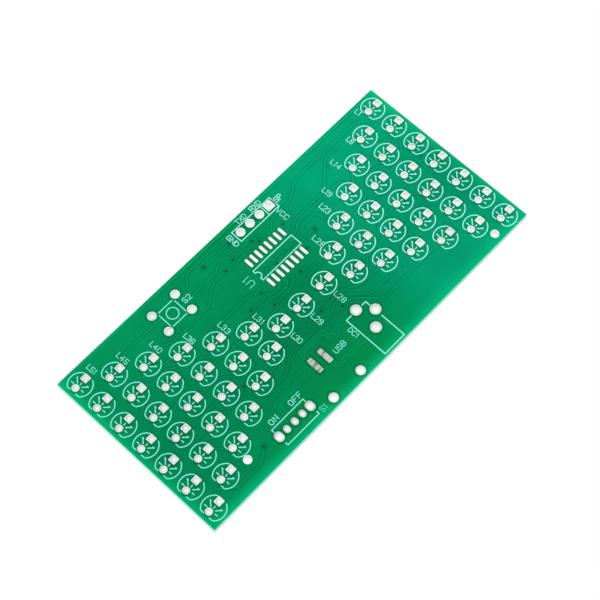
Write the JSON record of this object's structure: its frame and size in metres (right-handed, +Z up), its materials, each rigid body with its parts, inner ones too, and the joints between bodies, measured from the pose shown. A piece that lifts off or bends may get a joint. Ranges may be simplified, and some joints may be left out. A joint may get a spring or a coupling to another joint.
{
  "type": "bare circuit board for an electronic hourglass",
  "caption": "Bare green circuit board, drilled and tinned, with light footprints in an hourglass shape beside lands for a chip, pin header, power jack, socket, slide switch and button.",
  "frame": {"origin": "centre of the board's outline, level with the lowest lands on its under side", "axes": "+Z up out of the printed face, +X along the board towards the row of light 1, +Y towards the edge with the pin header"},
  "size_m": [0.0838, 0.0394, 0.0017],
  "materials": {
    "laminate": "glass-epoxy laminate under a glossy green solder mask, paler at the cut edges",
    "tinned_land": "bright solder-levelled tin over copper",
    "via_copper": "plated copper barrel, dull",
    "legend_ink": "thin white printed ink"
  },
  "bodies": {
    "root": {"board": "laminate", "header_lands": "tinned_land", "chip_lands": "tinned_land", "jack_lands": "tinned_land", "socket_contact_lands": "tinned_land", "socket_peg_lands": "tinned_land", "slide_switch_lands": "tinned_land", "button_lands": "tinned_land", "light_lands_01_07": "tinned_land", "light_lands_08_13": "tinned_land", "light_lands_14_18": "tinned_land", "light_lands_19_22": "tinned_land", "light_lands_23_25": "tinned_land", "light_lands_26_27": "tinned_land", "light_lands_28": "tinned_land", "light_lands_29": "tinned_land", "light_lands_30": "tinned_land", "light_lands_31_32": "tinned_land", "light_lands_33_35": "tinned_land", "light_lands_36_39": "tinned_land", "light_lands_40_44": "tinned_land", "light_lands_45_50": "tinned_land", "light_lands_51_57": "tinned_land", "vias": "via_copper", "light_outline_print": "legend_ink", "header_print": "legend_ink", "chip_print": "legend_ink", "jack_print": "legend_ink", "slide_switch_print": "legend_ink", "button_print": "legend_ink"}
  },
  "joints": []
}
